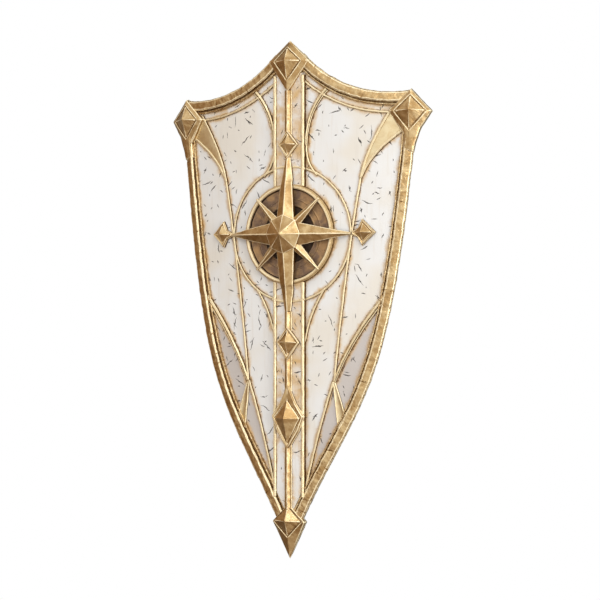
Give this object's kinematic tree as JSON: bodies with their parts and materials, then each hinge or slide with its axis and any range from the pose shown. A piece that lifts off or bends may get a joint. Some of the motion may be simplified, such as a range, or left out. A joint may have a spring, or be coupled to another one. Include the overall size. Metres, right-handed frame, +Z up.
{
  "type": "heater shield",
  "caption": "Curved white-lacquered shield with concave top edges, gilt edge bars, faceted corner caps, a star medallion on a ridged centre lath, and leather arm straps behind.",
  "frame": {"origin": "under the middle of the shield, on the surface that it lies on, face up", "axes": "+Y towards the shield's top point, +Z up out of its face, +X to the right of someone who looks down on the face with the top away from them"},
  "size_m": [0.5796, 0.999, 0.0824],
  "materials": {
    "lacquer": "white lacquer over wood, crackled and chipped, stained brown beside the gilding; the back is bare oiled wood",
    "gilt": "antique gilt brass, hammered, dark in its hollows and bright on its worn ridges",
    "pale_gilt": "pale gilt brass strip, worn and chipped along its edges",
    "dark_bronze": "dark brown patina in the dished ring, with a gilt rim",
    "leather": "brown harness leather, stitched along both edges"
  },
  "bodies": {
    "root": {"board": "lacquer", "edge_bar_top_right": "gilt", "edge_bar_top_left": "gilt", "edge_bar_side_right": "gilt", "edge_bar_side_left": "gilt", "cap_top": "gilt", "cap_bottom": "gilt", "cap_corner_right": "gilt", "cap_corner_left": "gilt", "lath_upper": "lacquer", "lath_lower": "lacquer", "edging_upper_right": "pale_gilt", "edging_upper_left": "pale_gilt", "edging_lower_right": "pale_gilt", "edging_lower_left": "pale_gilt", "spine_upper": "gilt", "spine_lower": "gilt", "medallion": "dark_bronze", "star": "gilt", "stud_upper": "gilt", "stud_lower": "gilt", "stud_large": "gilt", "stud_side_right": "gilt", "stud_side_left": "gilt", "tracery_right": "pale_gilt", "tracery_left": "pale_gilt", "horn_inlay_right": "gilt", "horn_inlay_left": "gilt", "arm_strap": "leather", "hand_strap": "leather", "rivet_arm_upper": "gilt", "rivet_arm_lower": "gilt", "rivet_hand_upper": "gilt", "rivet_hand_lower": "gilt"}
  },
  "joints": []
}
